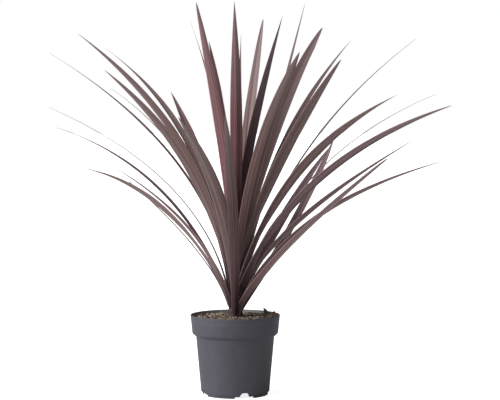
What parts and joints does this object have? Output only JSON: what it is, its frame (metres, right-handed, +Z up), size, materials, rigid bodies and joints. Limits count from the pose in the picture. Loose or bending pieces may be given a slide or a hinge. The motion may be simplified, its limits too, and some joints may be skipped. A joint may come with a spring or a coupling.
{
  "type": "potted red star cordyline",
  "caption": "Young cordyline with long narrow burgundy-brown leaves that fan out from a short cane, standing in soil in a round plastic nursery pot.",
  "frame": {"origin": "on the floor, under the middle of the pot", "axes": "+Z up, +X to the right seen from the front, -Y to the front"},
  "size_m": [0.7786, 0.7306, 0.7432],
  "materials": {
    "pot_plastic": "matte moulded dark grey plastic",
    "soil": "loose potting mix of bark and crumbs",
    "leaf": "satin burgundy-brown leaf with fine lengthwise veins",
    "cane": "dull dark leaf-scarred cane"
  },
  "bodies": {
    "root": {"pot": "pot_plastic", "soil": "soil", "stem": "cane", "side_shoot": "cane", "leaf_01": "leaf", "leaf_02": "leaf", "leaf_03": "leaf", "leaf_04": "leaf", "leaf_05": "leaf", "leaf_06": "leaf", "leaf_07": "leaf", "leaf_08": "leaf", "leaf_09": "leaf", "leaf_10": "leaf", "leaf_11": "leaf", "leaf_12": "leaf", "leaf_13": "leaf", "leaf_14": "leaf", "leaf_15": "leaf", "leaf_16": "leaf", "leaf_17": "leaf", "leaf_18": "leaf", "leaf_19": "leaf", "leaf_20": "leaf", "leaf_21": "leaf", "leaf_22": "leaf", "leaf_23": "leaf", "leaf_24": "leaf", "leaf_25": "leaf", "leaf_26": "leaf", "leaf_27": "leaf", "leaf_28": "leaf", "leaf_29": "leaf", "leaf_30": "leaf", "leaf_31": "leaf", "leaf_32": "leaf", "leaf_33": "leaf", "leaf_34": "leaf", "leaf_35": "leaf", "leaf_36": "leaf", "leaf_37": "leaf", "leaf_38": "leaf", "leaf_39": "leaf", "leaf_40": "leaf", "leaf_41": "leaf", "leaf_42": "leaf"}
  },
  "joints": []
}
